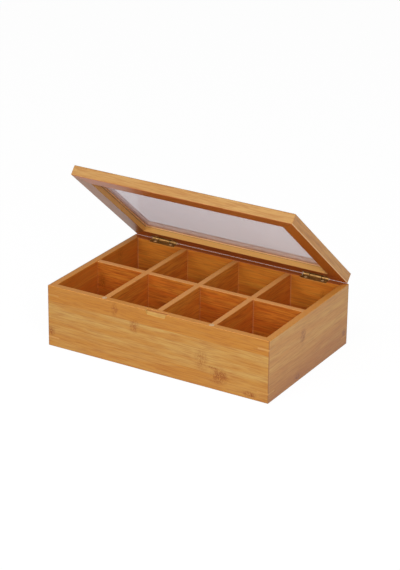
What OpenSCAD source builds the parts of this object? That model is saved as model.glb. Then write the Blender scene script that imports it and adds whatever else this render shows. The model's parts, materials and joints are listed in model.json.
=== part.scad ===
// Bamboo tea bag box: eight compartments under a hinged lid with a clear pane.
// Sizes are in millimetres. The box stands on z = 0, centred on the origin, and its front faces -Y.

/* [Box walls] */
// Outside length of the box, left to right
body_l = 320; // [260:1:420]
// Outside depth of the box, front to back
body_d = 206; // [160:1:250]
// Height of the four walls
body_h = 83; // [60:1:120]
// Thickness of the four walls
wall_t = 9; // [7.5:0.5:12]

/* [Bottom panel] */
// Thickness of the bottom panel
bottom_t = 5; // [3:0.5:8]
// Reach of the bottom panel into the rebate round the walls
bottom_reach = 4; // [2:0.5:6]
// Gap between the bottom panel's edge and its rebate, on each side
bottom_gap = 0.2; // [0.1:0.05:0.5]

/* [Dividers] */
// Thickness of the dividers
divider_t = 7.5; // [5:0.5:12]
// How far the tops of the dividers lie below the rim
divider_drop = 0.5; // [0.5:0.5:20]
// Gap on each side of a divider where it drops over another one
half_lap_gap = 0.1; // [0.05:0.05:0.3]

/* [Corner keys] */
// Thickness of the keys let into the mitred corners
key_t = 2.2; // [1.5:0.1:4]
// Wood left between a key and the inside corner, measured along the wall
key_cover = 1; // [0.5:0.5:3]
// Distance of the keys' middles from the rim and from the underside
key_edge = 12.5; // [10:0.5:25]

/* [Finger notch] */
// Width of the notch at the rim
notch_rim_w = 31; // [26:1:60]
// Width of the notch at its foot on the front face
notch_foot_w = 25; // [14:1:30]
// Depth of the notch into the rim
notch_in = 4.8; // [3:0.2:6]
// Height of the upright face at the back of the notch
notch_back_h = 2.3; // [1:0.1:4]
// Height of the notch on the front face
notch_h = 6; // [5:0.5:12]

/* [Bumpers] */
// Diameter of the clear discs on the front rim
bumper_d = 6.5; // [5:0.5:9]
// Width of the chamfer round the top of a disc
bumper_chamfer = 0.2; // [0.1:0.1:0.3]
// Gap between a disc and the closed lid
bumper_gap = 0.1; // [0.05:0.05:0.3]

/* [Lid] */
// Thickness of the lid's frame
lid_t = 13.5; // [12:0.5:20]
// Gap between the rim and the closed lid
lid_gap = 0.5; // [0.5:0.1:1.6]
// Set-back of the lid from the box at its left and right ends
lid_side_inset = 2; // [0:0.5:4]
// Set-back of the lid from the front of the box
lid_front_inset = 3; // [0:0.5:4]
// Width of the frame on its underside
rail_w = 21; // [16:1:32]
// How much further in the lip above the pane reaches
lip_w = 6; // [3:0.5:12]
// Thickness of the lip above the pane
lip_t = 4.6; // [3:0.2:6]
// Angle that the lid stands open
lid_open = 40.5; // [0:0.5:100]

/* [Pane] */
// Thickness of the clear pane
pane_t = 2; // [1.5:0.5:3]
// Gap between the pane's edge and its rebate, on each side
pane_gap = 0.25; // [0.1:0.05:0.5]

/* [Hinges] */
// Length of each hinge
hinge_l = 36.5; // [32:0.5:50]
// Distance from the middle of each hinge to the near end of the box
hinge_edge = 46.6; // [36:0.2:70]
// Distance of the pin's axis behind the back of the box
hinge_back = 0.1; // [0.1:0.1:2]
// Outside diameter of the knuckles
knuckle_d = 5; // [4.2:0.1:6]
// Length of the two end knuckles, which belong to the lid's leaf
end_knuckle_l = 9.5; // [6:0.5:12]
// Gap between one leaf and the knuckles of the other
knuckle_gap = 0.3; // [0.2:0.05:0.5]
// Thickness of the leaves
leaf_t = 1.2; // [1.1:0.1:1.5]
// Reach of the leaves in front of the pin's axis
leaf_reach = 8.6; // [8.6:0.1:10]
// Room left round a leaf in its mortise
mortise_gap = 1.2; // [0.2:0.1:1.5]
// Diameter of the pins
pin_d = 2; // [1.5:0.1:2.4]
// Gap round a pin in its bore, on the radius
pin_gap = 0.05; // [0.03:0.01:0.1]

/* [Screws] */
// Distance between the two screws of a leaf
screw_span = 24; // [14:1:27]
// Distance of the screws in front of the pin's axis
screw_reach = 6.2; // [5.8:0.1:6.3]
// Diameter of the countersunk heads
screw_head_d = 4.2; // [3.4:0.1:4.4]
// Diameter of the shanks
screw_d = 2.2; // [2:0.1:2.8]
// Length of a screw, head included
screw_l = 8; // [6:0.5:10]
// Length of the point at the end of a shank
screw_point_l = 2; // [1:0.5:3]
// Gap round a screw in its hole, on the radius
screw_gap = 0.05; // [0.03:0.01:0.1]
// Width of the cross in a screw's head
cross_w = 0.6; // [0.4:0.1:0.8]
// Length of each bar of the cross
cross_l = 2.4; // [1.8:0.1:2.6]
// Depth of the cross
cross_t = 0.5; // [0.3:0.1:0.7]

/* [Hidden] */
$fn = 48;

// A cut runs this far past the faces that it opens
past = 1;

// Inside of the box, and the size and pitch of its four columns of compartments
inner_l = body_l - 2 * wall_t;
inner_d = body_d - 2 * wall_t;
column_l = (inner_l - 3 * divider_t) / 4;
column_pitch = column_l + divider_t;
divider_top = body_h - divider_drop;
divider_h = divider_top - bottom_t;

// The legs of a key's triangle end where it would reach within key_cover of the inside corner
key_leg = 2 * (wall_t - key_cover);

// The front bumpers stand in line with the outer cross dividers, midway over the rim
bumper_x = column_pitch;
bumper_y = -body_d / 2 + wall_t / 2;
bumper_t = lid_gap - bumper_gap;

// The lid is flush with the back of the box
lid_l = body_l - 2 * lid_side_inset;
lid_d = body_d - lid_front_inset;
lid_mid_y = lid_front_inset / 2;
lid_bottom = body_h + lid_gap;
pane_bottom = lid_bottom + lid_t - lip_t - pane_t;

// The pin's axis lies midway between the rim and the closed lid
axis_y = body_d / 2 + hinge_back;
axis_z = body_h + lid_gap / 2;
hinge_x = body_l / 2 - hinge_edge;
mortise_t = (knuckle_d - lid_gap) / 2;
mid_knuckle_l = hinge_l - 2 * end_knuckle_l - 2 * knuckle_gap;

// Heads taper at 90 degrees, points end blunt, and the pilot holes run a little past them
screw_head_t = (screw_head_d - screw_d) / 2;
point_d = 0.5;
pilot_spare = 0.5;
pilot_l = screw_l - leaf_t + pilot_spare;

// Signs of X and Y on the four sides of the box and the lid
left = -1;
right = 1;
front = -1;
back = 1;

wall_color = [0.78, 0.56, 0.30];
divider_color = [0.72, 0.45, 0.20];
bottom_color = [0.55, 0.28, 0.10];
key_color = [0.90, 0.74, 0.52];
lid_color = [0.80, 0.61, 0.38];
pane_color = [0.78, 0.75, 0.78, 0.5];
bumper_color = [0.95, 0.90, 0.90, 0.6];
brass_color = [0.72, 0.56, 0.27];

// Block of size l by d, centred on the Z axis, between two heights
module block(l, d, low, high) {
    translate([-l / 2, -d / 2, low]) cube([l, d, high - low]);
}

// The part of a mitred frame of size l by d that lies along its front or back
module mitre_long(l, d, side) {
    outline = [
        [-l / 2 - past, -d / 2 - past],
        [l / 2 + past, -d / 2 - past],
        [(l - d) / 2, 0],
        [-(l - d) / 2, 0]
    ];
    rotate([0, 0, side == front ? 0 : 180])
        linear_extrude(2 * body_h)
            polygon(outline);
}

// The part of a mitred frame of size l by d that lies along its left or right end
module mitre_short(l, d, side) {
    outline = [
        [-l / 2 - past, d / 2 + past],
        [-l / 2 - past, -d / 2 - past],
        [-(l - d) / 2, 0]
    ];
    rotate([0, 0, side == left ? 0 : 180])
        linear_extrude(2 * body_h)
            polygon(outline);
}

// The four walls in one ring, with the rebate for the bottom panel
module wall_ring() {
    rebate_l = inner_l + 2 * bottom_reach;
    rebate_d = inner_d + 2 * bottom_reach;
    difference() {
        block(body_l, body_d, 0, body_h);
        block(inner_l, inner_d, -past, body_h + past);
        block(rebate_l, rebate_d, -past, bottom_t);
    }
}

// The two keys of one corner
module corner_keys(x_side, y_side) {
    for (z = [key_edge, body_h - key_edge])
        translate([x_side * body_l / 2, y_side * body_d / 2, z - key_t / 2])
            linear_extrude(key_t)
                polygon([[0, 0], [-x_side * key_leg, 0], [0, -y_side * key_leg]]);
}

module all_corner_keys() {
    for (x_side = [left, right])
        for (y_side = [front, back])
            corner_keys(x_side, y_side);
}

// Finger notch: the shape seen from the end, cut to the shape seen from the front
module finger_notch() {
    depth_slope = (notch_h - notch_back_h) / notch_in;
    width_slope = (notch_rim_w - notch_foot_w) / notch_h / 2;
    side_view = [
        [-past, -notch_h - past * depth_slope],
        [notch_in, -notch_back_h],
        [notch_in, past],
        [-past, past]
    ];
    front_view = [
        [-notch_foot_w / 2 + past * width_slope, -notch_h - past],
        [notch_foot_w / 2 - past * width_slope, -notch_h - past],
        [notch_rim_w / 2 + past * width_slope, past],
        [-notch_rim_w / 2 - past * width_slope, past]
    ];
    translate([0, -body_d / 2, body_h])
        intersection() {
            translate([-notch_rim_w, 0, 0])
                rotate([90, 0, 90])
                    linear_extrude(2 * notch_rim_w)
                        polygon(side_view);
            translate([0, notch_in + past, 0])
                rotate([90, 0, 0])
                    linear_extrude(notch_in + 2 * past)
                        polygon(front_view);
        }
}

// Moves what is drawn round the left or right hinge's axis to its place on the box
module at_hinge(side) {
    translate([side * hinge_x, axis_y, axis_z]) children();
}

// Cylinder along the hinge's axis, centred on it
module along_axis(d, l) {
    rotate([0, 90, 0]) cylinder(d = d, h = l, center = true);
}

// Moves what is drawn at the top of a leaf screw to the places of a leaf's two screws
module at_leaf_screws() {
    for (x = [-screw_span / 2, screw_span / 2])
        translate([x, -screw_reach, leaf_t - knuckle_d / 2])
            children();
}

// Head and shank down to a depth, with the head's face at z = 0, and a gap all round for a hole
module head_and_shank(gap, depth) {
    shank_d = screw_d + 2 * gap;
    translate([0, 0, -screw_head_t])
        cylinder(d1 = shank_d, d2 = screw_head_d + 2 * gap, h = screw_head_t);
    translate([0, 0, -depth]) cylinder(d = shank_d, h = depth);
}

// Countersunk hole in a leaf, open above z = 0
module leaf_hole() {
    head_and_shank(screw_gap, leaf_t + past);
    cylinder(d = screw_head_d + 2 * screw_gap, h = past);
}

module screw() {
    difference() {
        union() {
            head_and_shank(0, screw_l - screw_point_l);
            translate([0, 0, -screw_l])
                cylinder(d1 = point_d, d2 = screw_d, h = screw_point_l);
        }
        for (turn = [0, 90])
            rotate([0, 0, turn])
                block(cross_l, cross_w, -cross_t, past);
    }
}

// The box's leaf, lying level under the pin's axis, with its screw holes but without knuckles
module leaf_plate() {
    difference() {
        translate([-hinge_l / 2, -leaf_reach, -knuckle_d / 2])
            cube([hinge_l, leaf_reach, leaf_t]);
        at_leaf_screws() leaf_hole();
    }
}

// Room in a leaf's plate for the other leaf's knuckles, between two places along the pin
module knuckle_room(from, to) {
    room_d = knuckle_d + 2 * knuckle_gap;
    translate([from, -room_d / 2, -room_d / 2])
        cube([to - from, room_d, room_d]);
}

module pin_bore() {
    along_axis(pin_d + 2 * pin_gap, hinge_l + 2 * past);
}

// The box's leaf has the middle knuckle
module box_leaf() {
    room_at = mid_knuckle_l / 2;
    room_end = hinge_l / 2 + past;
    difference() {
        union() {
            difference() {
                leaf_plate();
                knuckle_room(-room_end, -room_at);
                knuckle_room(room_at, room_end);
            }
            along_axis(knuckle_d, mid_knuckle_l);
        }
        pin_bore();
    }
}

// The lid's leaf has the two end knuckles
module lid_leaf() {
    room_at = hinge_l / 2 - end_knuckle_l;
    mirror([0, 0, 1])
        difference() {
            union() {
                difference() {
                    leaf_plate();
                    knuckle_room(-room_at, room_at);
                }
                for (side = [left, right])
                    translate([side * (hinge_l - end_knuckle_l) / 2, 0, 0])
                        along_axis(knuckle_d, end_knuckle_l);
            }
            pin_bore();
        }
}

// The box's mortises run right through the back wall, from its back face to the inside
module box_mortises() {
    mortise_l = hinge_l + 2 * mortise_gap;
    for (side = [left, right])
        translate([side * hinge_x, body_d / 2 - wall_t / 2, 0])
            block(mortise_l, wall_t + 2 * past, body_h - mortise_t, body_h + past);
}

// The lid's mortises stop just in front of the leaves
module lid_mortises() {
    mortise_l = hinge_l + 2 * mortise_gap;
    mortise_d = leaf_reach - hinge_back + mortise_gap;
    for (side = [left, right])
        translate([side * hinge_x, (body_d - mortise_d + past) / 2, 0])
            block(mortise_l, mortise_d + past, lid_bottom - past, lid_bottom + mortise_t);
}

module pilot_holes() {
    for (side = [left, right])
        at_hinge(side)
            at_leaf_screws()
                translate([0, 0, -leaf_t - pilot_l])
                    cylinder(d = screw_d + 2 * screw_gap, h = pilot_l + past);
}

// Turns what is drawn upside down about the pins' axis
module over_axis() {
    translate([0, 0, axis_z]) mirror([0, 0, 1]) translate([0, 0, -axis_z]) children();
}

// Opens what is drawn on the closed lid
module open_lid() {
    translate([0, axis_y, axis_z])
        rotate([-lid_open, 0, 0])
            translate([0, -axis_y, -axis_z])
                children();
}

// The lid's four rails in one ring, with the rebate for the pane and its lip
module rail_ring() {
    rebate_l = lid_l - 2 * rail_w;
    rebate_d = lid_d - 2 * rail_w;
    lid_top = lid_bottom + lid_t;
    translate([0, lid_mid_y, 0])
        difference() {
            block(lid_l, lid_d, lid_bottom, lid_top);
            block(rebate_l, rebate_d, lid_bottom - past, pane_bottom + pane_t);
            block(rebate_l - 2 * lip_w, rebate_d - 2 * lip_w, lid_bottom, lid_top + past);
        }
}

module front_wall() {
    color(wall_color)
        difference() {
            intersection() {
                wall_ring();
                mitre_long(body_l, body_d, front);
            }
            all_corner_keys();
            finger_notch();
        }
}

module back_wall() {
    color(wall_color)
        difference() {
            intersection() {
                wall_ring();
                mitre_long(body_l, body_d, back);
            }
            all_corner_keys();
            box_mortises();
            pilot_holes();
        }
}

module end_wall(side) {
    color(wall_color)
        difference() {
            intersection() {
                wall_ring();
                mitre_short(body_l, body_d, side);
            }
            all_corner_keys();
        }
}

module bottom_panel() {
    grow = 2 * (bottom_reach - bottom_gap);
    color(bottom_color) block(inner_l + grow, inner_d + grow, 0, bottom_t);
}

// The long divider is notched from above to half its height for the cross dividers
module long_divider() {
    slot_w = divider_t + 2 * half_lap_gap;
    color(divider_color)
        difference() {
            block(inner_l, divider_t, bottom_t, divider_top);
            for (column = [-1:1])
                translate([column * column_pitch, 0, 0])
                    block(slot_w, divider_t + 2 * past, divider_top - divider_h / 2, divider_top + past);
        }
}

// A cross divider is notched from below and drops over the long one
module cross_divider(column) {
    slot_w = divider_t + 2 * half_lap_gap;
    color(divider_color)
        translate([column * column_pitch, 0, 0])
            difference() {
                block(divider_t, inner_d, bottom_t, divider_top);
                block(divider_t + 2 * past, slot_w, bottom_t - past, bottom_t + divider_h / 2);
            }
}

module bumper(side) {
    color(bumper_color)
        translate([side * bumper_x, bumper_y, body_h]) {
            cylinder(d = bumper_d, h = bumper_t - bumper_chamfer);
            translate([0, 0, bumper_t - bumper_chamfer])
                cylinder(d1 = bumper_d, d2 = bumper_d - 2 * bumper_chamfer, h = bumper_chamfer);
        }
}

module hinge_pin(side) {
    color(brass_color) at_hinge(side) along_axis(pin_d, hinge_l);
}

module box_leaf_at(side) {
    color(brass_color) at_hinge(side) box_leaf();
}

module lid_leaf_at(side) {
    color(brass_color) open_lid() at_hinge(side) lid_leaf();
}

module box_leaf_screws(side) {
    color(brass_color) at_hinge(side) at_leaf_screws() screw();
}

module lid_leaf_screws(side) {
    color(brass_color) open_lid() over_axis() at_hinge(side) at_leaf_screws() screw();
}

module lid_long_rail(side) {
    color(lid_color)
        open_lid()
            difference() {
                intersection() {
                    rail_ring();
                    translate([0, lid_mid_y, 0]) mitre_long(lid_l, lid_d, side);
                }
                lid_mortises();
                over_axis() pilot_holes();
            }
}

module lid_end_rail(side) {
    color(lid_color)
        open_lid()
            intersection() {
                rail_ring();
                translate([0, lid_mid_y, 0]) mitre_short(lid_l, lid_d, side);
            }
}

module window_pane() {
    pane_l = lid_l - 2 * rail_w - 2 * pane_gap;
    pane_d = lid_d - 2 * rail_w - 2 * pane_gap;
    color(pane_color)
        open_lid()
            translate([0, lid_mid_y, 0])
                block(pane_l, pane_d, pane_bottom, pane_bottom + pane_t);
}

front_wall();
back_wall();
end_wall(left);  // left_wall
end_wall(right);  // right_wall
bottom_panel();
long_divider();
cross_divider(-1);  // cross_divider_left
cross_divider(0);  // cross_divider_middle
cross_divider(1);  // cross_divider_right
color(key_color) corner_keys(left, front);  // corner_keys_front_left
color(key_color) corner_keys(right, front);  // corner_keys_front_right
color(key_color) corner_keys(left, back);  // corner_keys_back_left
color(key_color) corner_keys(right, back);  // corner_keys_back_right
bumper(left);  // bumper_left
bumper(right);  // bumper_right
box_leaf_at(left);  // box_leaf_left
box_leaf_at(right);  // box_leaf_right
box_leaf_screws(left);  // box_leaf_screws_left
box_leaf_screws(right);  // box_leaf_screws_right
hinge_pin(left);  // hinge_pin_left
hinge_pin(right);  // hinge_pin_right
lid_leaf_at(left);  // lid_leaf_left
lid_leaf_at(right);  // lid_leaf_right
lid_leaf_screws(left);  // lid_leaf_screws_left
lid_leaf_screws(right);  // lid_leaf_screws_right
lid_long_rail(front);  // lid_front_rail
lid_long_rail(back);  // lid_back_rail
lid_end_rail(left);  // lid_left_rail
lid_end_rail(right);  // lid_right_rail
window_pane();
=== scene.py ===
"""Looks of a bamboo tea bag box with a hinged window lid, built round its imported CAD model."""

import json
import math

import bmesh
import bpy
from mathutils import Matrix, Vector

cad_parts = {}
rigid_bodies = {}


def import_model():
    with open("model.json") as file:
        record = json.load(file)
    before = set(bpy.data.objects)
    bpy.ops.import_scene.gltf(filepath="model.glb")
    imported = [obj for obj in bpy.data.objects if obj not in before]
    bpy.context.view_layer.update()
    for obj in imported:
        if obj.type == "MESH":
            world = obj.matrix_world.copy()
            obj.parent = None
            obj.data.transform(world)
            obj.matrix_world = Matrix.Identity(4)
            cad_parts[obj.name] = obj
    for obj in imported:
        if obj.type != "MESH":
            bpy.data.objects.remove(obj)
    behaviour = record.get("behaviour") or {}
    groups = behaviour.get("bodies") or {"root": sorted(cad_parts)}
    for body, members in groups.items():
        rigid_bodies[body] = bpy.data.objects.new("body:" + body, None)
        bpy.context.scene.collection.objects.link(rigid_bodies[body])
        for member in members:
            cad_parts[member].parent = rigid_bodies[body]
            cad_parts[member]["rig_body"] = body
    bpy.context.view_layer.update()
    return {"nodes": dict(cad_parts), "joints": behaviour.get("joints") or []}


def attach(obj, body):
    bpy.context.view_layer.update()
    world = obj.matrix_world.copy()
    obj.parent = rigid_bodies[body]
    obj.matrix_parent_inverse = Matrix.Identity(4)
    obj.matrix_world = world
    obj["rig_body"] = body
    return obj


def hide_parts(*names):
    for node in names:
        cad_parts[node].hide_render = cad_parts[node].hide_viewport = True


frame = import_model()

MM = 0.001
X, Y, Z = range(3)

# The lid stands open at rest. Places on it are given with the lid closed
HINGE = frame["joints"][0]
HINGE_AXIS = Vector([round(place / MM, 3) for place in HINGE["pos_m"]])
LID_OPEN = math.radians(-HINGE["range_deg"][0])
CLOSE_LID = (
    Matrix.Translation(HINGE_AXIS * MM)
    @ Matrix.Rotation(LID_OPEN, 4, "X")
    @ Matrix.Translation(-HINGE_AXIS * MM)
)


def closing(body):
    """The turn that brings a body to where it is with the lid closed."""
    return CLOSE_LID if body == "lid" else Matrix.Identity(4)


def span(node, axis):
    """Lowest and highest place of a CAD node along an axis with the lid closed, in millimetres."""
    source = frame["nodes"][node]
    close = closing(source["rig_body"])
    places = [(close @ vert.co)[axis] / MM for vert in source.data.vertices]
    return round(min(places), 3), round(max(places), 3)


# Sizes that the pieces and the wood's patterns follow, in millimetres, as the frame gives them
HALF_L = span("right_wall", X)[1]
HALF_D = span("back_wall", Y)[1]
BODY_H = span("front_wall", Z)[1]
WALL_T = HALF_D - span("back_wall", Y)[0]
DIVIDER_TOP = span("long_divider", Z)[1]
COLUMN_PITCH = sum(span("cross_divider_right", X)) / 2
LID_END = span("lid_right_rail", X)[1]
LID_FRONT = span("lid_front_rail", Y)[0]
LID_BACK = span("lid_back_rail", Y)[1]
LID_UNDER, LID_TOP = span("lid_back_rail", Z)
PANE_BOTTOM = span("window_pane", Z)[0]
HINGE_X = sum(span("hinge_pin_right", X)) / 2
LEAF_FOOT = span("box_leaf_right", Z)[0]

# Sizes within a node, as the CAD model has them
NOTCH_H = 6
NOTCH_IN = 4.8
RAIL_W = 21
LIP_W = 6
KNUCKLE_R = 2.5
MID_KNUCKLE_L = 17.2
MORTISE_L = 38.9
BUMPER_R = 3.25
BUMPER_T = 0.4


# Shader tools

# Sockets of a Mix node that mixes colours
MIX_FACTOR = 0
MIX_A = 6
MIX_B = 7
MIX_RESULT = 2


class Value:
    """A socket in a look. Arithmetic on it adds the Math nodes."""

    def __init__(self, look, socket):
        self.look = look
        self.socket = socket

    def __add__(self, other):
        return self.look.math("ADD", self, other)

    def __sub__(self, other):
        return self.look.math("SUBTRACT", self, other)

    def __rsub__(self, other):
        return self.look.math("SUBTRACT", other, self)

    def __mul__(self, other):
        return self.look.math("MULTIPLY", self, other)

    def __truediv__(self, other):
        return self.look.math("DIVIDE", self, other)

    __radd__ = __add__
    __rmul__ = __mul__


class Look:
    """A material put together from nodes."""

    def __init__(self, name):
        self.material = bpy.data.materials.new(name)
        self.material.use_nodes = True
        self.tree = self.material.node_tree
        self.tree.nodes.clear()

    def node(self, kind, settings=None, inputs=None, output=0):
        """Adds a node: its settings first, then a value or a link for each of its sockets."""
        made = self.tree.nodes.new("ShaderNode" + kind)
        for key, value in (settings or {}).items():
            setattr(made, key, value)
        for key, value in (inputs or {}).items():
            if isinstance(value, Value):
                self.tree.links.new(value.socket, made.inputs[key])
            else:
                made.inputs[key].default_value = value
        return Value(self, made.outputs[output])

    def math(self, operation, a, b=0.0):
        return self.node("Math", {"operation": operation}, {0: a, 1: b})

    def rise(self, value, low, high):
        """0 below low, 1 above high, and a smooth step between them."""
        settings = {"interpolation_type": "SMOOTHSTEP"}
        return self.node("MapRange", settings, {"Value": value, "From Min": low, "From Max": high})

    def fall(self, value, low, high):
        """1 below low, 0 above high, and a smooth step between them."""
        return 1 - self.rise(value, low, high)

    def near(self, value, middle, reach):
        """1 within reach of the middle and 0 outside."""
        return self.math("LESS_THAN", self.math("ABSOLUTE", value - middle), reach)

    def mix(self, factor, a, b, blend="MIX"):
        """Mixes two colours."""
        settings = {"data_type": "RGBA", "blend_type": blend}
        return self.node("Mix", settings, {MIX_FACTOR: factor, MIX_A: a, MIX_B: b}, MIX_RESULT)

    def vector(self, x, y, z):
        return self.node("CombineXYZ", None, {"X": x, "Y": y, "Z": z})

    def split(self, vector):
        """The three numbers of a vector."""
        return [self.node("SeparateXYZ", None, {"Vector": vector}, output) for output in "XYZ"]

    def noise(self, at, detail=2.0, roughness=0.5, distortion=0.0):
        inputs = {
            "Vector": at,
            "Scale": 1.0,
            "Detail": detail,
            "Roughness": roughness,
            "Distortion": distortion,
        }
        return self.node("TexNoise", None, inputs)

    def object_place(self, scale=1 / MM, turn=(0, 0, 0), shift=(0, 0, 0)):
        """Place on the piece, in millimetres unless another scale is given."""
        at = self.node("TexCoord", output="Object")
        scale = scale if isinstance(scale, tuple) else (scale,) * 3
        inputs = {"Vector": at, "Location": shift, "Rotation": turn, "Scale": scale}
        return self.node("Mapping", {"vector_type": "POINT"}, inputs)

    def surface(self, shader):
        output = self.tree.nodes.new("ShaderNodeOutputMaterial")
        self.tree.links.new(shader.socket, output.inputs["Surface"])
        return self.material


def seen(red, green, blue):
    """A colour as a screen shows it, 0 to 255, turned by the sRGB curve into a shader's linear colour."""
    linear = []
    for level in (red, green, blue):
        share = level / 255
        linear.append(share / 12.92 if share <= 0.04045 else ((share + 0.055) / 1.055) ** 2.4)
    return (*linear, 1)


# Colours of the bamboo. contrast is how strongly the fibres show

WALL_WOOD = {
    "pale": seen(202, 159, 86),
    "gold": seen(193, 135, 57),
    "honey": seen(192, 122, 30),
    "fibre": seen(160, 88, 30),
    "edge": seen(210, 139, 62),
    "contrast": 0.40,
}
# The back wall's rim is painted dark red-brown, as the shadow of the lid that stands open over it
LID_SHADED_BACK_WOOD = {
    **WALL_WOOD,
    "edge": seen(158, 78, 34),
}
# The right wall is the same bamboo painted paler and more orange, for how the light falls on that side
RIGHT_LIT_WOOD = {
    **WALL_WOOD,
    "pale": seen(216, 162, 80),
    "gold": seen(208, 144, 62),
    "honey": seen(202, 132, 42),
    "fibre": seen(178, 108, 44),
}
# The compartments' faces are the same bamboo painted deeper and more orange, as the shade in them and the
# light bounced between their wooden faces
SHADED_INSIDE_WOOD = {
    "pale": seen(208, 130, 44),
    "gold": seen(200, 108, 33),
    "honey": seen(188, 86, 20),
    "fibre": seen(136, 54, 14),
    "edge": seen(218, 152, 83),
    "contrast": 0.5,
}
# Painted light: the back wall's inside is painted brighter, as it stands in the least shade. The left
# wall's inside and the cross dividers are painted between the two
LIT_BACK_INSIDE_WOOD = {
    **SHADED_INSIDE_WOOD,
    "pale": seen(224, 150, 53),
    "gold": seen(215, 128, 40),
    "honey": seen(198, 96, 24),
    "fibre": seen(154, 66, 17),
}
HALF_LIT_INSIDE_WOOD = {
    **LIT_BACK_INSIDE_WOOD,
    "pale": seen(214, 138, 49),
    "gold": seen(206, 118, 37),
    "honey": seen(190, 88, 22),
}
# On the lid the rails' undersides are painted redder as shade, the left rail's less red, the rebate and the
# lip are painted paler as if lit, and the lip's edge carries a painted highlight
LID_WOOD = {
    "pale": seen(203, 160, 98),
    "gold": seen(193, 143, 82),
    "honey": seen(188, 125, 54),
    "fibre": seen(162, 98, 46),
    "rebate": seen(226, 171, 90),
    "lip": seen(255, 208, 150),
    "lip_edge_highlight": seen(255, 232, 214),
    "under": seen(192, 92, 18),
    "contrast": 0.40,
}
LEFT_LID_WOOD = {
    **LID_WOOD,
    "under": seen(156, 86, 30),
}
# The lid's right rail is painted paler and more orange in the same way, for how the light falls on that side
RIGHT_LIT_LID_WOOD = {
    **LID_WOOD,
    "pale": seen(216, 160, 82),
    "gold": seen(208, 144, 64),
    "honey": seen(202, 130, 42),
}
NODE_BROWN = seen(146, 74, 12)
# Painted shade along outer edges and at the foot of the walls
EDGE_SHADE_BROWN = seen(150, 96, 54)
# Dark lines on the lid's rails: along the inner edge of the undersides, and painted shadow in the gap along
# the pane
DARK_LINE_BROWN = seen(84, 40, 12)
# A narrow pale line up the corners of the compartments
CORNER_LINE_PALE = seen(216, 150, 104)
# Painted shade that darkens boards towards their foot, in the compartments and on the right wall
CELL_FOOT_SHADE = (0.72, 0.56, 0.60, 1)
RIGHT_FOOT_SHADE = (0.74, 0.58, 0.28, 1)


# Grain

# Which axes of the box run along a board's grain, across its strips and through it
WALL_LONG = (X, Z, Y)
WALL_SHORT = (Y, Z, X)
FLAT_LONG = (X, Y, Z)
FLAT_SHORT = (Y, X, Z)

# A wall is four strips of culm high. The joints between strips waver a little, and each strip's fibres are
# moved along from its neighbour's
STRIP_W = BODY_H / 4
WAVER = 2.4
WAVER_L = 60
STRIP_SHIFT = 41.3
FIBRE_LEAN = 0.012

# Length and width of the marks in each layer of the grain, in millimetres, and how its noise is made
FINE_FIBRES = {"length": 24, "width": 1.4, "seed_step": 0.0, "roughness": 0.6}
STREAKS = {"length": 36, "width": 2.8, "seed_step": 5.0, "roughness": 0.6}
CLOUDS = {"length": 90, "width": 7.5, "seed_step": 9.0, "roughness": 0.5}

# Levels of each layer's noise between which the wood turns from one colour to the other
FINE_TURN = (0.44, 0.66)
STREAK_TURN = (0.46, 0.70)
CLOUD_TURN = (0.32, 0.68)

# How dark the streaks are beside the fine fibres
STREAK_SHARE = 0.7


def board_place(look, axes, on_lid):
    """Place on a board in millimetres: along its grain, across its strips and through it."""
    turn = Matrix.Rotation(LID_OPEN, 3, "X") if on_lid else Matrix.Identity(3)
    placed = look.object_place(turn=turn.to_euler(), shift=HINGE_AXIS - turn @ HINGE_AXIS)
    split = look.split(placed)
    return [split[axis] for axis in axes]


def strip_tone(look, across, strips, start):
    """How dark each glued strip is, and a number that differs from strip to strip."""
    row = look.math("FLOOR", (across - start) / STRIP_W)
    row = look.math("MINIMUM", look.math("MAXIMUM", row, 0.0), len(strips) - 1.0)
    tone = 0.0
    for i, dark in enumerate(strips):
        tone = look.math("COMPARE", row, float(i)) * dark + tone
    return tone, row


def grain_layer(look, run, lean, seed, length, width, seed_step, roughness):
    """Noise drawn out along the grain."""
    at = look.vector(run / length + seed, lean / width, seed + seed_step)
    return look.noise(at, roughness=roughness)


def grain(look, place, seed, strips, start):
    """How dark the strips are, and the layers of the grain: fine fibres, streaks and broad clouds."""
    along, across, through = place
    waver = (look.noise(look.vector(along / WAVER_L, seed, 0.0), detail=1.0) - 0.5) * WAVER
    tone, row = strip_tone(look, across + waver, strips, start)
    run = along + row * STRIP_SHIFT
    lean = across + through + along * FIBRE_LEAN
    layers = [grain_layer(look, run, lean, seed, **layer) for layer in (FINE_FIBRES, STREAKS, CLOUDS)]
    return tone, layers


def wood_tones(look, wood, clouds, tone):
    """Clouds of pale and golden wood, honey brown in the darker strips."""
    colour = look.mix(look.rise(clouds, *CLOUD_TURN), wood["gold"], wood["pale"])
    return look.mix(tone, colour, wood["honey"])


# Nodes of the culm

# The size of their crooked fibres and how far their outlines wander, in millimetres, where they fade, from 0
# in the middle to 1 at the rim, and how brown they are
MARK_FIBRE_L = 2.3
MARK_FIBRE_W = 3.4
MARK_FIBRE_TURN = (0.42, 0.58)
MARK_WANDER = 8
MARK_WANDER_L = 7
MARK_FADE = (0.2, 1.3)
MARK_CLEAR = 0.16
MARK_FIBROUS = 0.68


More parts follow.
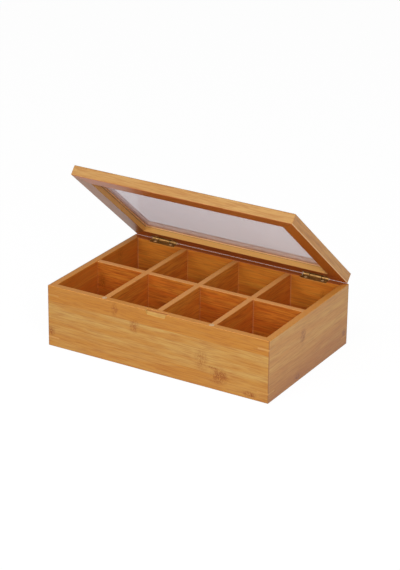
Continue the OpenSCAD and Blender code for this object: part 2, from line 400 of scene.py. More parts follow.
def node_marks(look, colour, place, marks, seed):
    """Soft brown patches broken up by short crooked fibres. A mark is its place along and across the board,
    its width and height in millimetres, and its strength."""
    along, across, through = place
    crooked = look.vector(along / MARK_FIBRE_L, across / MARK_FIBRE_W + seed, through / MARK_FIBRE_W)
    fibres = look.rise(look.noise(crooked, roughness=0.6, distortion=1.4), *MARK_FIBRE_TURN)
    wander = look.noise(look.vector(across / MARK_WANDER_L, along / MARK_WANDER_L, seed), detail=1.0)
    wander = (wander - 0.5) * MARK_WANDER
    for mark_along, mark_across, width, height, strength in marks:
        side = (along + wander - mark_along) / (width / 2)
        rise = (across - mark_across) / (height / 2)
        patch = look.fall(look.math("SQRT", side * side + rise * rise), *MARK_FADE) * strength
        colour = look.mix(patch * (fibres * MARK_FIBROUS + MARK_CLEAR), colour, NODE_BROWN)
    return colour


# Faces and lines on the walls and dividers

# A pair of numbers is where a colour begins to change and where the change is complete, in millimetres
INSIDE_TURN = (0.4, 1.6)
FOOT_SHADE = (-10.0, 55.0)
TOP_EDGE = (-0.7, -0.5)
TOP_EDGE_STRENGTH = 0.85

NOTCH_FOOT = BODY_H - NOTCH_H
NOTCH_BACK = HALF_D - NOTCH_IN
SLOPE_UP = (NOTCH_FOOT, NOTCH_FOOT + 0.4)
SLOPE_OUT = (HALF_D - 0.4, HALF_D - 0.1)
UPRIGHT_IN = (NOTCH_BACK - 0.3, NOTCH_BACK - 0.1)
UPRIGHT_OUT = (NOTCH_BACK + 0.1, NOTCH_BACK + 0.3)
UPRIGHT_STRENGTH = 0.8

SEAT_DROP = 0.5
SEAT_REACH = 0.6
SEAT_STRENGTH = 0.9

# The narrow pale lines are on the right of the left wall and of each cross divider
LINED_BOARDS = ("left_wall", "cross_divider_left", "cross_divider_middle", "cross_divider_right")
CORNER_LINE_PLACES = [span(node, X)[1] for node in LINED_BOARDS]
CORNER_LINE_BEGINS = (-0.3, 0.2)
CORNER_LINE_ENDS = (1.2, 2.0)

# Painted shade along a wall's corners, its rim's outer edge and its foot
CORNER_SHADE = (-1.5, -0.7)
CORNER_STRENGTH = 0.55
RIM_SHADE_OUT = (-2.2, -1.2)
RIM_SHADE_UP = (BODY_H - 1.2, BODY_H - 0.8)
FOOT_CONTACT_SHADOW = (0.4, 1.2)
FOOT_STRENGTH = 0.6


def beside(place, band):
    """A band that is given from a place, moved to that place."""
    return [place + step for step in band]


def notch_faces(look, colour, across, depth, wood):
    """The notch's sloped face, which faces up, is painted pale as if lit, and the upright face behind it is
    darker.
    """
    sloped = look.rise(across, *SLOPE_UP) * look.fall(depth, *SLOPE_OUT)
    colour = look.mix(sloped, colour, wood["pale"])
    upright = look.rise(depth, *UPRIGHT_IN) * look.fall(depth, *UPRIGHT_OUT)
    return look.mix(upright * UPRIGHT_STRENGTH, colour, wood["fibre"])


def hinge_seat_highlights(look, colour, along, across, depth):
    """A painted highlight: the back wall's inner edge is painted pale along the foot of each hinge's
    mortise.
    """
    hinge = look.near(look.math("ABSOLUTE", along), HINGE_X, MORTISE_L / 2)
    foot = look.near(across, LEAF_FOOT - SEAT_DROP, SEAT_REACH)
    front = look.near(depth, HALF_D - WALL_T, SEAT_REACH)
    return look.mix(hinge * foot * front * SEAT_STRENGTH, colour, WALL_WOOD["edge"])


def pale_corner_lines(look, colour, along, strengths):
    """A narrow pale line runs up a board beside each board that meets it."""
    for place, strength in zip(CORNER_LINE_PLACES, strengths):
        line = look.rise(along, *beside(place, CORNER_LINE_BEGINS)) * look.fall(along, *beside(place, CORNER_LINE_ENDS))
        colour = look.mix(line * strength, colour, CORNER_LINE_PALE)
    return colour


def wall_edge_shading(look, colour, along, across, depth, wall):
    """Painted shade: a wall's eased corners and its rim's outer edge are darker as shaded outlines, and its
    foot is darker as the shadow where it stands on the floor.
    """
    corner = look.rise(look.math("ABSOLUTE", along), *beside(wall["half_l"], CORNER_SHADE))
    colour = look.mix(corner * CORNER_STRENGTH, colour, EDGE_SHADE_BROWN)
    if wall["dark_rim"]:
        rim = look.rise(depth, *beside(wall["outer"], RIM_SHADE_OUT)) * look.rise(across, *RIM_SHADE_UP)
        colour = look.mix(rim * wall["dark_rim"], colour, EDGE_SHADE_BROWN)
    return look.mix(look.fall(across, *FOOT_CONTACT_SHADOW) * FOOT_STRENGTH, colour, EDGE_SHADE_BROWN)


# Faces and lines on the lid's rails

# Bands of painted light and shade on the rails
UNDERSIDE = (LID_UNDER + 0.2, LID_UNDER + 0.6)
UNDERSIDE_STRENGTH = 0.75
INNER_LINE = (RAIL_W - 1.8, RAIL_W - 0.8)
REBATE = (RAIL_W - 0.5, RAIL_W - 0.2)
REBATE_STRENGTH = 0.8
BELOW_TOP = (LID_TOP - 1.4, LID_TOP - 0.8)
PANE_GAP_SHADOW = (PANE_BOTTOM - 0.7, PANE_BOTTOM - 0.4)
OVER_PANE = (PANE_BOTTOM + 0.2, PANE_BOTTOM + 0.5)
LIP_EDGE = (RAIL_W + LIP_W - 1.3, RAIL_W + LIP_W - 0.9)
OUTER_EDGE = (0.7, 1.1)
LOW_CORNER = (LID_UNDER + 0.7, LID_UNDER + 1.1)
TOP_CORNER = (LID_TOP - 0.9, LID_TOP - 0.5)
TOP_CORNER_STRENGTH = 0.6


def rail_faces(look, colour, across, through, wood, rail):
    """Painted light and shade on the rails: the undersides are painted redder as shade, with a dark line
    along their inner edge, and the rebate round the pane and the lip over it are painted paler as if lit,
    with a painted highlight on the lip's edge and a painted shadow line in the gap along the pane. The right
    rail's low outer corner gets a painted highlight, and the top outer edges are darker with painted shade."""
    inward = (across - rail["outer"]) * rail["way"]
    under = look.fall(through, *UNDERSIDE)
    colour = look.mix(under * UNDERSIDE_STRENGTH, colour, wood["under"])
    inner_line = look.rise(inward, *INNER_LINE) * under
    colour = look.mix(inner_line * rail["inner_line"], colour, DARK_LINE_BROWN)

    below_top = look.fall(through, *BELOW_TOP)
    rebate = look.rise(inward, *REBATE) * below_top
    colour = look.mix(rebate * REBATE_STRENGTH, colour, wood["rebate"])
    over_pane = look.rise(through, *OVER_PANE) * rebate
    colour = look.mix(over_pane, colour, wood["lip"])
    lip_edge_highlight = look.rise(inward, *LIP_EDGE) * below_top
    colour = look.mix(lip_edge_highlight, colour, wood["lip_edge_highlight"])
    pane_gap_shadow = look.rise(through, *PANE_GAP_SHADOW) * (1 - over_pane) * rebate
    colour = look.mix(pane_gap_shadow * rail["pane_gap_shadow"], colour, DARK_LINE_BROWN)

    outer_edge = look.fall(inward, *OUTER_EDGE)
    low_corner = outer_edge * look.fall(through, *LOW_CORNER)
    colour = look.mix(low_corner * rail["corner_highlight"], colour, wood["lip"])
    top_corner = outer_edge * look.rise(through, *TOP_CORNER)
    return look.mix(top_corner * TOP_CORNER_STRENGTH, colour, EDGE_SHADE_BROWN)


# Bamboo


def bamboo(
    name,
    axes,
    wood,
    seed,
    strips,
    start=0.0,
    marks=(),
    corner_line_strengths=(),
    foot_shade_colour=None,
    top=None,
    wall=None,
    rail=None,
):
    """Laminated bamboo. strips says how dark each strip is, and start is where the first one begins. Each
    narrow pale line up a corner has its own strength. The colour for the foot is painted shade, which
    darkens the board towards its foot, and top is how high a board with an upper edge of its own colour
    reaches; on the back wall that colour is the painted shadow of the lid. wall describes a wall of the box,
    and rail one side of the lid."""
    look = Look(name)
    place = board_place(look, axes, on_lid=rail is not None)
    along, across, through = place
    tone, (fine, streaks, clouds) = grain(look, place, seed, strips, start)

    colour = wood_tones(look, wood, clouds, tone)
    if wall:
        depth = look.math("ABSOLUTE", through)
        inside = wood_tones(look, wall["inside"], clouds, tone)
        from_inside = look.rise(depth, *beside(wall["outer"] - WALL_T, INSIDE_TURN))
        colour = look.mix(from_inside, inside, colour)
        if wall["notched"]:
            colour = notch_faces(look, colour, across, depth, wood)
    dark_streaks = look.rise(streaks, *STREAK_TURN) * wood["contrast"] * STREAK_SHARE
    colour = look.mix(dark_streaks, colour, wood["fibre"])
    dark_fibres = look.rise(fine, *FINE_TURN) * wood["contrast"]
    colour = look.mix(dark_fibres, colour, wood["fibre"])

    colour = node_marks(look, colour, place, marks, seed)
    colour = pale_corner_lines(look, colour, along, corner_line_strengths)
    # Painted shade, darker towards the foot
    if foot_shade_colour:
        colour = look.mix(look.fall(across, *FOOT_SHADE), colour, foot_shade_colour, blend="MULTIPLY")
    # The upper edge's own colour; on the back wall it is the painted shadow of the lid
    if top:
        edge = look.rise(across, *beside(top, TOP_EDGE))
        colour = look.mix(edge * TOP_EDGE_STRENGTH, colour, wood["edge"])
    # Painted highlight along the foot of the hinges' mortises
    if wall and wall["hinged"]:
        colour = hinge_seat_highlights(look, colour, along, across, depth)
    # Painted shade on the wall's corners, rim edge and foot
    if wall:
        colour = wall_edge_shading(look, colour, along, across, depth, wall)
    # Painted light and shade on the lid's rails
    if rail:
        colour = rail_faces(look, colour, across, through, wood, rail)

    relief = {"Strength": 0.15, "Distance": 0.2 * MM, "Height": fine * 0.5 + streaks * 0.5}
    inputs = {
        "Base Color": colour,
        "Roughness": fine * 0.15 + 0.30,
        "IOR": 1.4,
        "Coat Weight": 0.05,
        "Coat Roughness": 0.15,
        "Normal": look.node("Bump", None, relief),
    }
    return look.surface(look.node("BsdfPrincipled", None, inputs))


# Wood of the corner keys. Scales of noise on a piece are in marks to the metre

KEY_PALE = seen(206, 149, 76)
KEY_DULL = seen(196, 138, 64)
KEY_LIKE_WALL = seen(194, 134, 56)
KEY_GRAIN_SCALE = (160, 160, 1400)
KEY_GRAIN_TURN = (0.35, 0.75)


def key_wood(name, upper, lower):
    """Pale close-grained wood of the keys let into the corners. upper and lower are how pale a corner's two
    keys are."""
    look = Look(name)
    grain_noise = look.noise(look.object_place(KEY_GRAIN_SCALE), detail=3.0)
    colour = look.mix(look.rise(grain_noise, *KEY_GRAIN_TURN), KEY_PALE, KEY_DULL)
    height = look.split(look.object_place())[Z]
    is_upper = look.math("GREATER_THAN", height, BODY_H / 2)
    like_wall = is_upper * (lower - upper) + (1 - lower)
    colour = look.mix(like_wall, colour, KEY_LIKE_WALL)
    inputs = {"Base Color": colour, "Roughness": grain_noise * 0.2 + 0.3}
    return look.surface(look.node("BsdfPrincipled", None, inputs))


# Brass of the hinges

LEAF_BRIGHT = seen(158, 118, 62)
LEAF_DULL = seen(128, 90, 42)
LEAF_METALLIC = 0.7
# The screws and pins are painted near white, as their glints
SCREW_GLINT_BRIGHT = seen(250, 218, 168)
SCREW_GLINT_DULL = seen(232, 196, 146)
SCREW_METALLIC = 0.3
# The barrel is painted brighter than the leaves as its highlight, with painted shade between the knuckles
BARREL_HIGHLIGHT_BRIGHT = seen(198, 154, 92)
BARREL_HIGHLIGHT_DULL = seen(166, 122, 64)
KNUCKLE_GAP_SHADE = seen(60, 36, 12)
KNUCKLE_GAP_REACH = 0.5
BARREL_FADE = (KNUCKLE_R + 0.1, KNUCKLE_R + 0.4)
TARNISH_SCALE = 420
TARNISH_TURN = (0.25, 0.75)
BRUSHED_SCALE = (300, 4000, 4000)


def hinge_brass(name, bright, dull, metallic):
    """Stamped brass, brushed along the hinge. bright and dull are its colours away from the barrel, which is
    painted brighter as a highlight and has painted shade in the gaps between its knuckles."""
    look = Look(name)
    tarnish = look.rise(look.noise(look.object_place(TARNISH_SCALE), detail=3.0), *TARNISH_TURN)
    x, y, z = look.split(look.object_place())
    back = y - HINGE_AXIS.y
    up = z - HINGE_AXIS.z
    barrel = look.fall(look.math("SQRT", back * back + up * up), *BARREL_FADE)
    barrel_highlight = look.mix(tarnish, BARREL_HIGHLIGHT_BRIGHT, BARREL_HIGHLIGHT_DULL)
    from_middle = look.math("ABSOLUTE", look.math("ABSOLUTE", x) - HINGE_X)
    knuckle_gap = look.near(from_middle, MID_KNUCKLE_L / 2, KNUCKLE_GAP_REACH)
    barrel_highlight = look.mix(knuckle_gap, barrel_highlight, KNUCKLE_GAP_SHADE)
    brushed = look.noise(look.object_place(BRUSHED_SCALE))
    relief = {"Strength": 0.08, "Distance": 0.1 * MM, "Height": brushed}
    inputs = {
        "Base Color": look.mix(barrel, look.mix(tarnish, bright, dull), barrel_highlight),
        "Metallic": metallic,
        "Roughness": tarnish * 0.12 + 0.30,
        "Normal": look.node("Bump", None, relief),
    }
    return look.surface(look.node("BsdfPrincipled", None, inputs))


# Clear plastics. The veil, how much of the pane's colour shows, is a painted reflection that grows at a
# slant

PANE_LEFT = seen(212, 188, 202)
PANE_RIGHT = seen(236, 212, 216)
PANE_TURN = (-120.0, 160.0)
PANE_HAZE_SCALE = 14
PANE_HAZE_REACH = 40
VEIL_FACING = 0.10
VEIL_SLANTING = 0.53
VEIL_HAZE = 0.05
VEIL_LOST_ON_LIP = 0.85
LID_MID_Y = (LID_FRONT + LID_BACK) / 2
WINDOW_END = LID_END - RAIL_W - LIP_W
WINDOW_HALF_D = (LID_BACK - LID_FRONT) / 2 - RAIL_W - LIP_W
BUMPER_CLEAR = seen(255, 228, 184)
BUMPER_CLOUDY = seen(248, 212, 166)
BUMPER_CLOUD_SCALE = 500


def pane_plastic():
    """Clear sheet. Its colour is a painted reflection, which veils what is behind it more as the eye comes
    down to its surface. Where it lies on the frame's lip it hardly shows."""
    look = Look("pane_plastic")
    slant = look.node("LayerWeight", None, {"Blend": 0.5}, "Facing")
    haze = look.noise(look.object_place(PANE_HAZE_SCALE))
    x, y = board_place(look, FLAT_LONG, on_lid=True)[:2]
    past_end = look.math("GREATER_THAN", look.math("ABSOLUTE", x), WINDOW_END)
    past_side = look.math("GREATER_THAN", look.math("ABSOLUTE", y - LID_MID_Y), WINDOW_HALF_D)
    over_lip = look.math("MAXIMUM", past_end, past_side)
    reflection_veil = look.math("POWER", slant, 2.0) * VEIL_SLANTING + VEIL_FACING + haze * VEIL_HAZE
    inputs = {
        "Base Color": look.mix(look.rise(x + haze * PANE_HAZE_REACH, *PANE_TURN), PANE_LEFT, PANE_RIGHT),
        "Roughness": haze * 0.04 + 0.05,
        "IOR": 1.1,
        "Alpha": reflection_veil * (1 - over_lip * VEIL_LOST_ON_LIP),
    }
    return look.surface(look.node("BsdfPrincipled", None, inputs))


def bumper_plastic():
    """Soft clear plastic of the stick-on discs."""
    look = Look("bumper_plastic")
    cloud = look.noise(look.object_place(BUMPER_CLOUD_SCALE))
    inputs = {
        "Base Color": look.mix(cloud, BUMPER_CLEAR, BUMPER_CLOUDY),
        "Roughness": cloud * 0.1 + 0.15,
        "IOR": 1.3,
        "Alpha": 0.42,
    }
    return look.surface(look.node("BsdfPrincipled", None, inputs))


# Edges of the copied boards and fittings

# Points nearer than this are one, faces that meet at less than the flat angle are one, and edges over the
# sharp angle are eased
MERGE_REACH = 0.001 * MM
FLAT_ANGLE = math.radians(0.5)
SHARP_ANGLE = math.radians(30)

# How far off an edge's ends may be, in millimetres, for it to count as at a place, square or level
SAME_PLACE = 0.02
SQUARE_REACH = 0.1
LEVEL_REACH = 1

# How wide the edges of each kind of piece are eased, in millimetres
BOARD_EASE = 0.8
DIVIDER_EASE = 0.5
BOTTOM_EASE = 0.2
KEY_EASE = 0.15
LEAF_EASE = 0.2
SCREW_EASE = 0.06

# What part of that width an edge gets
FULL_SHARE = 1.0
FOOT_SHARE = 0.8
JOINT_SHARE = 0.25
DIVIDER_TOP_SHARE = 0.9
DIVIDER_SIDE_SHARE = 0.2

# The two edges that face each other across the gap behind the lid come a hair closer than in the CAD model,
# as little light shows between them in the photograph. Each has its height and how far it is moved up
EDGE_STRIP = 1.5
BACK_LIPS = {
    "back_wall": (BODY_H, 0.1),
    "lid_back_rail": (LID_UNDER, -0.3),
}


def lies_at(a, b, axis, place):
    """Whether an edge from a to b lies at a place on an axis."""
    return abs(a[axis] - place) < SAME_PLACE and abs(b[axis] - place) < SAME_PLACE


def runs_square(a, b):
    """Whether an edge runs along the box or across it, and not along a mitre."""
    return abs(a[X] - b[X]) < SQUARE_REACH or abs(a[Y] - b[Y]) < SQUARE_REACH


def wall_edge(a, b):
    """The rim and the foot are eased more than the joints, and the back of the rim isn't."""
    if lies_at(a, b, Z, BODY_H) and runs_square(a, b):
        return 0.0 if lies_at(a, b, Y, HALF_D) else FULL_SHARE
    if lies_at(a, b, Z, 0) and runs_square(a, b):
        return FOOT_SHARE
    return JOINT_SHARE


def divider_edge(a, b):
    """The top edges are eased more than the rest."""
    return DIVIDER_TOP_SHARE if lies_at(a, b, Z, DIVIDER_TOP) else DIVIDER_SIDE_SHARE


def rail_edge(a, b):
    """The rails are eased along their length, the mitres only a hair and the lower back edge not at all."""
    if lies_at(a, b, Y, LID_BACK) and lies_at(a, b, Z, LID_UNDER):
        return 0.0
    if not runs_square(a, b) or abs(a[Z] - b[Z]) > LEVEL_REACH or lies_at(a, b, Y, LID_BACK):
        return JOINT_SHARE
    return FULL_SHARE


def plain_edge(a, b):
    """Every edge is eased in full."""
    return FULL_SHARE


# Shapes


def place_piece(mesh, name, body, material, stands_for):
    """Makes a piece of a mesh, which rides on a body and stands for a CAD node."""
    data = bpy.data.meshes.new(name)
    mesh.to_mesh(data)
    mesh.free()
    data.materials.append(material)
    piece = bpy.data.objects.new(name, data)
    bpy.context.scene.collection.objects.link(piece)
    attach(piece, body)
    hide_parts(stands_for)
    return piece


def cut_back_strip(mesh):
    """Cuts a narrow strip along a board's back face, so that its edge can be moved."""
    geom = mesh.verts[:] + mesh.edges[:] + mesh.faces[:]
    cut = (0, (LID_BACK - EDGE_STRIP) * MM, 0)
    bmesh.ops.bisect_plane(mesh, geom=geom, plane_co=cut, plane_no=(0, 1, 0))


def move_back_edge(mesh, height, rise):
    """Moves a board's back edge by a hair, towards the other board across the gap behind the lid."""
    edge = []
    for vert in mesh.verts:
        place = vert.co / MM
        if lies_at(place, place, Y, LID_BACK) and lies_at(place, place, Z, height):
            edge.append(vert)
    bmesh.ops.translate(mesh, vec=(0, 0, rise * MM), verts=edge)


def eased_copy(node, name, material, width, share=plain_edge, segments=3):
    """A copy of a CAD node as one clean mesh with its edges rounded over. share gives each edge's part of
    the width from its two ends, which are in millimetres with the lid closed."""
    source = frame["nodes"][node]
    close = closing(source["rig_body"])
    mesh = bmesh.new()
    mesh.from_mesh(source.data)
    bmesh.ops.transform(mesh, matrix=close, verts=mesh.verts)
    bmesh.ops.remove_doubles(mesh, verts=mesh.verts, dist=MERGE_REACH)
    bmesh.ops.dissolve_limit(mesh, angle_limit=FLAT_ANGLE, verts=mesh.verts, edges=mesh.edges)
    if node in BACK_LIPS:
        cut_back_strip(mesh)
    weight = mesh.edges.layers.float.new("bevel_weight_edge")
    for face in mesh.faces:
        face.smooth = True
    for edge in mesh.edges:
        if edge.is_manifold and edge.calc_face_angle() >= SHARP_ANGLE:
            edge.smooth = False
            edge[weight] = share(*(vert.co / MM for vert in edge.verts))
    if node in BACK_LIPS:
        move_back_edge(mesh, *BACK_LIPS[node])
    bmesh.ops.transform(mesh, matrix=close.inverted(), verts=mesh.verts)
    piece = place_piece(mesh, name, source["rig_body"], material, node)
    bevel = piece.modifiers.new("eased edges", "BEVEL")
    bevel.width = width * MM
    bevel.segments = segments
    bevel.limit_method = "WEIGHT"
    bevel.harden_normals = True


# The bumpers stand midway over the front rim. Their flat undersides, which face down, aren't smooth shaded
BUMPER_Y = -HALF_D + WALL_T / 2
BUMPER_WALL_H = 0.2
BUMPER_SIDES = 40
DOME_STEPS = 6
FACES_DOWN = -0.5


def bumper_dome(side, way, material):
    """A clear disc with a domed top, turned from its outline."""
    centre = Vector((way * COLUMN_PITCH, BUMPER_Y, BODY_H)) * MM
    outline = [(0, 0), (BUMPER_R, 0), (BUMPER_R, BUMPER_WALL_H)]
    for step in range(1, DOME_STEPS + 1):
        angle = math.tau / 4 * step / DOME_STEPS
        dome_h = (BUMPER_T - BUMPER_WALL_H) * math.sin(angle)
        outline.append((BUMPER_R * math.cos(angle), BUMPER_WALL_H + dome_h))
    mesh = bmesh.new()
    verts = [mesh.verts.new(Vector((reach, 0, height)) * MM) for reach, height in outline]
    edges = [mesh.edges.new(pair) for pair in zip(verts, verts[1:])]
    bmesh.ops.spin(
        mesh,
        geom=verts + edges,
        cent=(0, 0, 0),
        axis=(0, 0, 1),
        angle=math.tau,
        steps=BUMPER_SIDES,
        use_merge=True,
    )
    bmesh.ops.remove_doubles(mesh, verts=mesh.verts, dist=MERGE_REACH)
    bmesh.ops.recalc_face_normals(mesh, faces=mesh.faces)
    bmesh.ops.translate(mesh, vec=centre, verts=mesh.verts)
    for face in mesh.faces:
        face.smooth = face.normal.z > FACES_DOWN
    place_piece(mesh, f"bumper_dome_{side}", "box", material, f"bumper_{side}")


# Walls

# Nodes of the culm on each wall, as node_marks takes them
FRONT_MARKS = (
    (-60, 73, 10, 22, 0.75),
    (-31, 57, 14, 20, 1.0),
    (65, 36, 20, 28, 0.7),
    (92, 20, 26, 20, 1.2),
    (82, 29, 20, 4, 1.0),
    (88, 11, 24, 4, 0.9),
    (134, 6, 20, 9, 1.2),
    (-157, 21, 15, 14, 1.2),
)
BACK_MARKS = (
    (-96, 52, 16, 20, 0.9),
    (70, 30, 20, 22, 1.0),
    (128, 62, 9, 18, 0.7),
)
LEFT_MARKS = (
    (-40, 30, 18, 22, 0.7),
    (52, 71, 14, 20, 0.6),
)
RIGHT_MARKS = (
    (-18, 57, 13, 22, 1.1),
    (-30, 7, 18, 9, 1.0),
    (95, 19, 10, 12, 1.1),
)

# What is painted on a wall: where its ends and its outer face are, the wood of its inside, whether it has
# the finger notch or the hinges, and how dark the painted shade on the outer edge of its rim is
PLAIN_WALL = {"inside": SHADED_INSIDE_WOOD, "notched": False, "hinged": False, "dark_rim": 0.0}
LONG_WALL = {**PLAIN_WALL, "half_l": HALF_L, "outer": HALF_D}
SHORT_WALL = {**PLAIN_WALL, "half_l": HALF_D, "outer": HALF_L}

WALLS = {
    "front": {
        "axes": WALL_LONG,
        "wood": WALL_WOOD,
        "seed": 3.1,
        "strips": (0.45, 0.12, 0.08, 0.75),
        "marks": FRONT_MARKS,
        "wall": {**LONG_WALL, "notched": True},
    },
    "back": {
        "axes": WALL_LONG,
        "wood": LID_SHADED_BACK_WOOD,
        "seed": 11.7,
        "strips": (0.3, 0.6, 0.15, 0.3),
        "marks": BACK_MARKS,
        "corner_line_strengths": (0.4, 0.2, 0.2, 0.35),
        "wall": {**LONG_WALL, "inside": LIT_BACK_INSIDE_WOOD, "hinged": True},
    },
    "left": {
        "axes": WALL_SHORT,
        "wood": WALL_WOOD,
        "seed": 23.9,
        "strips": (0.6, 0.6, 0.6, 0.4),
        "marks": LEFT_MARKS,
        "foot_shade_colour": CELL_FOOT_SHADE,
        "wall": {**SHORT_WALL, "inside": HALF_LIT_INSIDE_WOOD, "dark_rim": 0.7},
    },
    "right": {
        "axes": WALL_SHORT,
        "wood": RIGHT_LIT_WOOD,
        "seed": 31.3,
        "strips": (0.4, 0.3, 0.1, 0.15),
        "marks": RIGHT_MARKS,
        "foot_shade_colour": RIGHT_FOOT_SHADE,
        "wall": SHORT_WALL,
    },
}
for side, board in WALLS.items():
    material = bamboo(f"{side}_bamboo", top=BODY_H, **board)
    eased_copy(f"{side}_wall", f"{side}_wall_board", material, BOARD_EASE, wall_edge)

# Dividers and bottom

DIVIDERS = {
    "long_divider": {
        "axes": WALL_LONG,
        "wood": SHADED_INSIDE_WOOD,
        "seed": 41.1,
        "strips": (0.6, 0.3, 0.5, 0.2),
        "marks": ((-143, 55, 14, 28, 1.1),),
        "corner_line_strengths": (0.1, 0.15, 0.2, 0.35),
    },
}
CROSS_STRIPS = {
    "left": (0.5, 0.3, 0.4, 0.2),
    "middle": (0.3, 0.1, 0.2, 0.1),
    "right": (0.7, 0.8, 0.6, 0.4),
}
CROSS_SEED = 47.3
CROSS_SEED_STEP = 7.9
for i, (side, strips) in enumerate(CROSS_STRIPS.items()):
    DIVIDERS[f"cross_divider_{side}"] = {
        "axes": WALL_SHORT,
        "wood": HALF_LIT_INSIDE_WOOD,
        "seed": CROSS_SEED + CROSS_SEED_STEP * i,
        "strips": strips,
        "foot_shade_colour": CELL_FOOT_SHADE,
    }
for node, board in DIVIDERS.items():
    material = bamboo(f"{node}_bamboo", top=DIVIDER_TOP, **board)
    eased_copy(node, f"{node}_board", material, DIVIDER_EASE, divider_edge)

BOTTOM_SEED = 71.9
BOTTOM_STRIPS = (0.3, 0.5, 0.2, 0.6, 0.3, 0.4, 0.2, 0.5, 0.3, 0.6)
bottom_bamboo = bamboo("bottom_bamboo", FLAT_LONG, SHADED_INSIDE_WOOD, BOTTOM_SEED, BOTTOM_STRIPS, start=-HALF_D)
eased_copy("bottom_panel", "bottom_board", bottom_bamboo, BOTTOM_EASE)

# Corner keys and bumpers

# How pale the upper and the lower key of a corner are
KEY_PALENESS = {"left": (0.15, 1.0), "right": (0.9, 0.45)}
for side, (upper, lower) in KEY_PALENESS.items():
    key_material = key_wood(f"key_wood_{side}", upper, lower)
    for end in ("front", "back"):
        node = f"corner_keys_{end}_{side}"
        eased_copy(node, f"{node}_slips", key_material, KEY_EASE)

bumper_material = bumper_plastic()
for side, way in (("left", -1), ("right", 1)):
    bumper_dome(side, way, bumper_material)

# Lid

# A rail's outer edge and the way from there to the window, and how strong its lines are: the dark inner
# line, the painted shadow along the pane and the painted highlight on the low outer corner
RAILS = {
    "front": {"outer": LID_FRONT, "way": 1, "inner_line": 0.4, "pane_gap_shadow": 0.6, "corner_highlight": 0.0},
    "back": {"outer": LID_BACK, "way": -1, "inner_line": 0.0, "pane_gap_shadow": 0.35, "corner_highlight": 0.0},
    "left": {"outer": -LID_END, "way": 1, "inner_line": 0.0, "pane_gap_shadow": 0.8, "corner_highlight": 0.0},
    "right": {"outer": LID_END, "way": -1, "inner_line": 0.6, "pane_gap_shadow": 0.6, "corner_highlight": 0.8},
}
RAIL_BOARDS = {
    "front": {"axes": FLAT_LONG, "wood": LID_WOOD, "seed": 83.3},
    "back": {"axes": FLAT_LONG, "wood": LID_WOOD, "seed": 89.9},
    "left": {"axes": FLAT_SHORT, "wood": LEFT_LID_WOOD, "seed": 97.1},
    "right": {"axes": FLAT_SHORT, "wood": RIGHT_LIT_LID_WOOD, "seed": 103.7},
}
RAIL_STRIPS = (0.15, 0.3)
for side, board in RAIL_BOARDS.items():
    rail = RAILS[side]
    start = rail["outer"] if rail["way"] > 0 else rail["outer"] - len(RAIL_STRIPS) * STRIP_W
    material = bamboo(f"lid_{side}_bamboo", strips=RAIL_STRIPS, start=start, rail=rail, **board)
    node = f"lid_{side}_rail"
    eased_copy(node, f"{node}_board", material, BOARD_EASE, rail_edge)

pane = frame["nodes"]["window_pane"]
pane.data.materials.clear()
pane.data.materials.append(pane_plastic())

# Hinges

leaf_brass = hinge_brass("leaf_brass", LEAF_BRIGHT, LEAF_DULL, LEAF_METALLIC)
screw_glint_brass = hinge_brass("screw_glint_brass", SCREW_GLINT_BRIGHT, SCREW_GLINT_DULL, SCREW_METALLIC)
for side in ("left", "right"):
    for node in (f"box_leaf_{side}", f"lid_leaf_{side}"):
        eased_copy(node, f"{node}_stamped", leaf_brass, LEAF_EASE)
    for node in (f"box_leaf_screws_{side}", f"lid_leaf_screws_{side}", f"hinge_pin_{side}"):
        eased_copy(node, f"{node}_turned", screw_glint_brass, SCREW_EASE, segments=2)


# Floor and surroundings, in metres

WHITE = (1, 1, 1, 1)
FLOOR_HALF = 8
FLOOR_DROP = 0.0002
FLOOR_GREY = (0.62, 0.62, 0.62, 1)
FLOOR_GLOW = 1.06
FLOOR_LIFT = 0.9
WORLD_LIGHT = 0.3


def floor_material():
    """Pale grey, lifted to white for the camera, which keeps the box's shadow."""
    look = Look("studio_white")
    camera_ray = look.node("LightPath", output="Is Camera Ray")
    glossy_ray = look.node("LightPath", output="Is Glossy Ray")
    through_ray = look.node("LightPath", output="Is Transmission Ray")
    looked_at = look.math("MINIMUM", camera_ray + glossy_ray + through_ray, 1.0)
    matt = look.node("BsdfDiffuse", None, {"Color": FLOOR_GREY})
    white = look.node("Emission", None, {"Color": WHITE, "Strength": FLOOR_GLOW})
    return look.surface(look.node("MixShader", None, {0: looked_at * FLOOR_LIFT, 1: matt, 2: white}))


def studio_floor():
    """A wide floor a hair below the box."""
    mesh = bmesh.new()
    bmesh.ops.create_grid(mesh, x_segments=1, y_segments=1, size=FLOOR_HALF)
    bmesh.ops.translate(mesh, vec=(0, 0, -FLOOR_DROP), verts=mesh.verts)
    data = bpy.data.meshes.new("floor")
    mesh.to_mesh(data)
    mesh.free()
    data.materials.append(floor_material())
    floor = bpy.data.objects.new("floor", data)
    bpy.context.scene.collection.objects.link(floor)


def studio_world():
    """Even white surroundings, which the camera sees as plain white."""
    world = bpy.data.worlds.new("studio")
    world.use_nodes = True
    tree = world.node_tree
    tree.nodes.clear()
    path = tree.nodes.new("ShaderNodeLightPath")
    level = tree.nodes.new("ShaderNodeMapRange")
    level.inputs["To Min"].default_value = WORLD_LIGHT
    level.inputs["To Max"].default_value = 1.0
    sky = tree.nodes.new("ShaderNodeBackground")
    sky.inputs["Color"].default_value = WHITE
    output = tree.nodes.new("ShaderNodeOutputWorld")
    tree.links.new(path.outputs["Is Camera Ray"], level.inputs["Value"])
    tree.links.new(level.outputs["Result"], sky.inputs["Strength"])
    tree.links.new(sky.outputs["Background"], output.inputs["Surface"])
    bpy.context.scene.world = world


studio_floor()
studio_world()

# Lamps: where each stands, in metres, and its power in watts

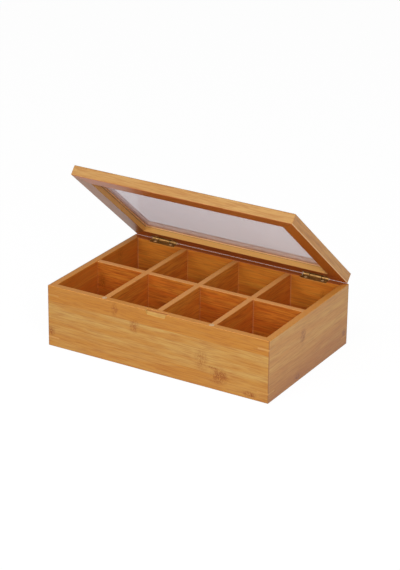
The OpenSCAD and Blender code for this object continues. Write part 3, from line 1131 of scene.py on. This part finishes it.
BOX_MIDDLE = Vector((0, 0, 0.08))
SOFTBOX_SIZE = 1.0
SOFTBOXES = {
    "softbox_front_left": ((-1.0, -2.0, 1.15), 14),
    "softbox_front_right": ((1.5, -1.6, 1.3), 28),
    "softbox_top": ((0.1, -1.3, 2.1), 15),
}


def softbox(name, place, power):
    """A square lamp that faces the box."""
    lamp = bpy.data.lights.new(name, "AREA")
    lamp.shape = "SQUARE"
    lamp.size = SOFTBOX_SIZE
    lamp.energy = power
    light = bpy.data.objects.new(name, lamp)
    light.location = place
    light.rotation_euler = (BOX_MIDDLE - Vector(place)).to_track_quat("-Z", "Y").to_euler()
    bpy.context.scene.collection.objects.link(light)


for name, (place, power) in SOFTBOXES.items():
    softbox(name, place, power)

# Camera, fitted to the corners of the box in the photograph

CAMERA_AZIMUTH = math.radians(30.61)
CAMERA_ELEVATION = math.radians(23.15)
CAMERA_ROLL = math.radians(0.67)
CAMERA_TARGET = Vector((-49.0, 86.1, 40)) * MM
CAMERA_DISTANCE = 2793 * MM
CAMERA_FAR_END = 50
IMAGE_H = 570
SENSOR = 36
FOCAL_LENGTH_PX = 2125


def photo_camera():
    """The camera at the photograph's viewing angle."""
    data = bpy.data.cameras.new("camera")
    data.sensor_width = SENSOR
    data.sensor_fit = "AUTO"
    data.lens = FOCAL_LENGTH_PX * SENSOR / IMAGE_H
    data.clip_end = CAMERA_FAR_END
    away = Vector(
        (
            math.sin(CAMERA_AZIMUTH) * math.cos(CAMERA_ELEVATION),
            -math.cos(CAMERA_AZIMUTH) * math.cos(CAMERA_ELEVATION),
            math.sin(CAMERA_ELEVATION),
        )
    )
    camera = bpy.data.objects.new("camera", data)
    camera.location = CAMERA_TARGET + away * CAMERA_DISTANCE
    level_view = (-away).to_track_quat("-Z", "Y").to_matrix()
    camera.rotation_euler = (level_view @ Matrix.Rotation(CAMERA_ROLL, 3, "Z")).to_euler()
    bpy.context.scene.collection.objects.link(camera)
    return camera


camera = photo_camera()
bpy.context.scene.camera = camera

bpy.context.scene.view_settings.view_transform = "Standard"
